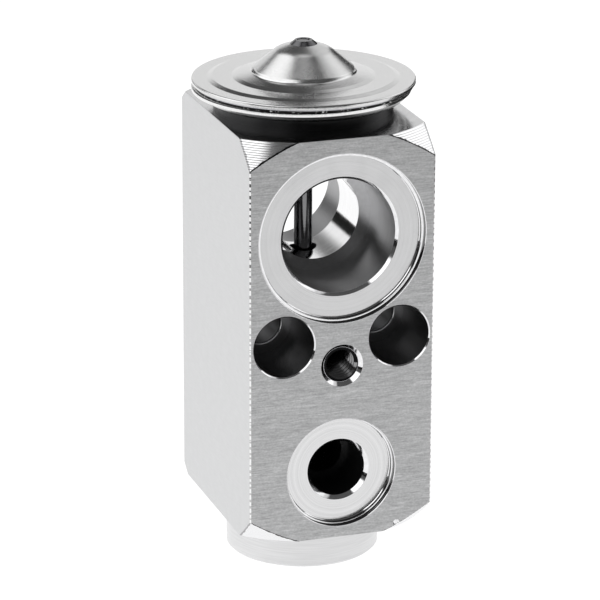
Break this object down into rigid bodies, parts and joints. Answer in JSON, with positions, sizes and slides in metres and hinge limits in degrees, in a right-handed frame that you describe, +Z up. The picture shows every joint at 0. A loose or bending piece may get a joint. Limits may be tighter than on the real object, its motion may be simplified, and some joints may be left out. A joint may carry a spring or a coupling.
{
  "type": "expansion valve",
  "caption": "Block-type thermostatic expansion valve: drilled metal block with a round diaphragm head, large and small flow ports, screw holes and a round spigot below.",
  "frame": {"origin": "on the valve axis, in the plane of the underside of the round spigot", "axes": "+Z up along the valve axis to the diaphragm head, -Y out of the face with the liquid inlet, the flange thread and the screw heads, +X to the right of someone who looks at that face"},
  "size_m": [0.0374, 0.0392, 0.089],
  "materials": {
    "block_aluminium": "milled and turned, bare",
    "head_steel": "stamped stainless, satin",
    "plug_steel": "dark resistance-welded plug",
    "turned_steel": "turned",
    "rod_steel": "polished",
    "spring_steel": "bright spring steel",
    "seal_rubber": "smooth black rubber",
    "screw_aluminium": "turned, bare"
  },
  "bodies": {
    "housing": {"valve_block": "block_aluminium", "upper_cover": "head_steel", "charge_plug": "plug_steel", "diaphragm": "spring_steel", "lower_housing": "head_steel", "threaded_collar": "turned_steel", "head_seal_ring": "seal_rubber", "rod_seal_ring": "seal_rubber", "seal_washer": "turned_steel", "seal_retainer": "spring_steel", "seat_ring": "turned_steel", "bias_spring": "spring_steel"},
    "plunger": {"diaphragm_plate": "turned_steel", "push_rod": "rod_steel", "valve_ball": "rod_steel", "ball_carrier": "turned_steel", "damping_spring": "spring_steel"},
    "adjuster_slide": {"adjuster_seal_ring": "seal_rubber"},
    "adjuster": {"adjusting_screw": "screw_aluminium"}
  },
  "joints": [
    {"name": "valve_stroke", "type": "slide", "parent": "housing", "child": "plunger", "axis": [0, 0, -1], "range_m": [0, 0.0008], "stiffness_N_per_m": 3400, "springref_m": -0.003, "deforming": ["bias_spring", "diaphragm"]},
    {"name": "adjuster_travel", "type": "slide", "parent": "housing", "child": "adjuster_slide", "axis": [0, 0, 1], "range_m": [-0.0005, 0.0005]},
    {"name": "adjuster_turn", "type": "hinge", "parent": "adjuster_slide", "child": "adjuster", "pos_m": [0, 0, 0.004], "axis": [0, 0, 1], "range_deg": [-180, 180]}
  ],
  "couplings": [
    {"joint": "adjuster_turn", "follows": "adjuster_travel", "rad_per_m": 6283.2}
  ]
}
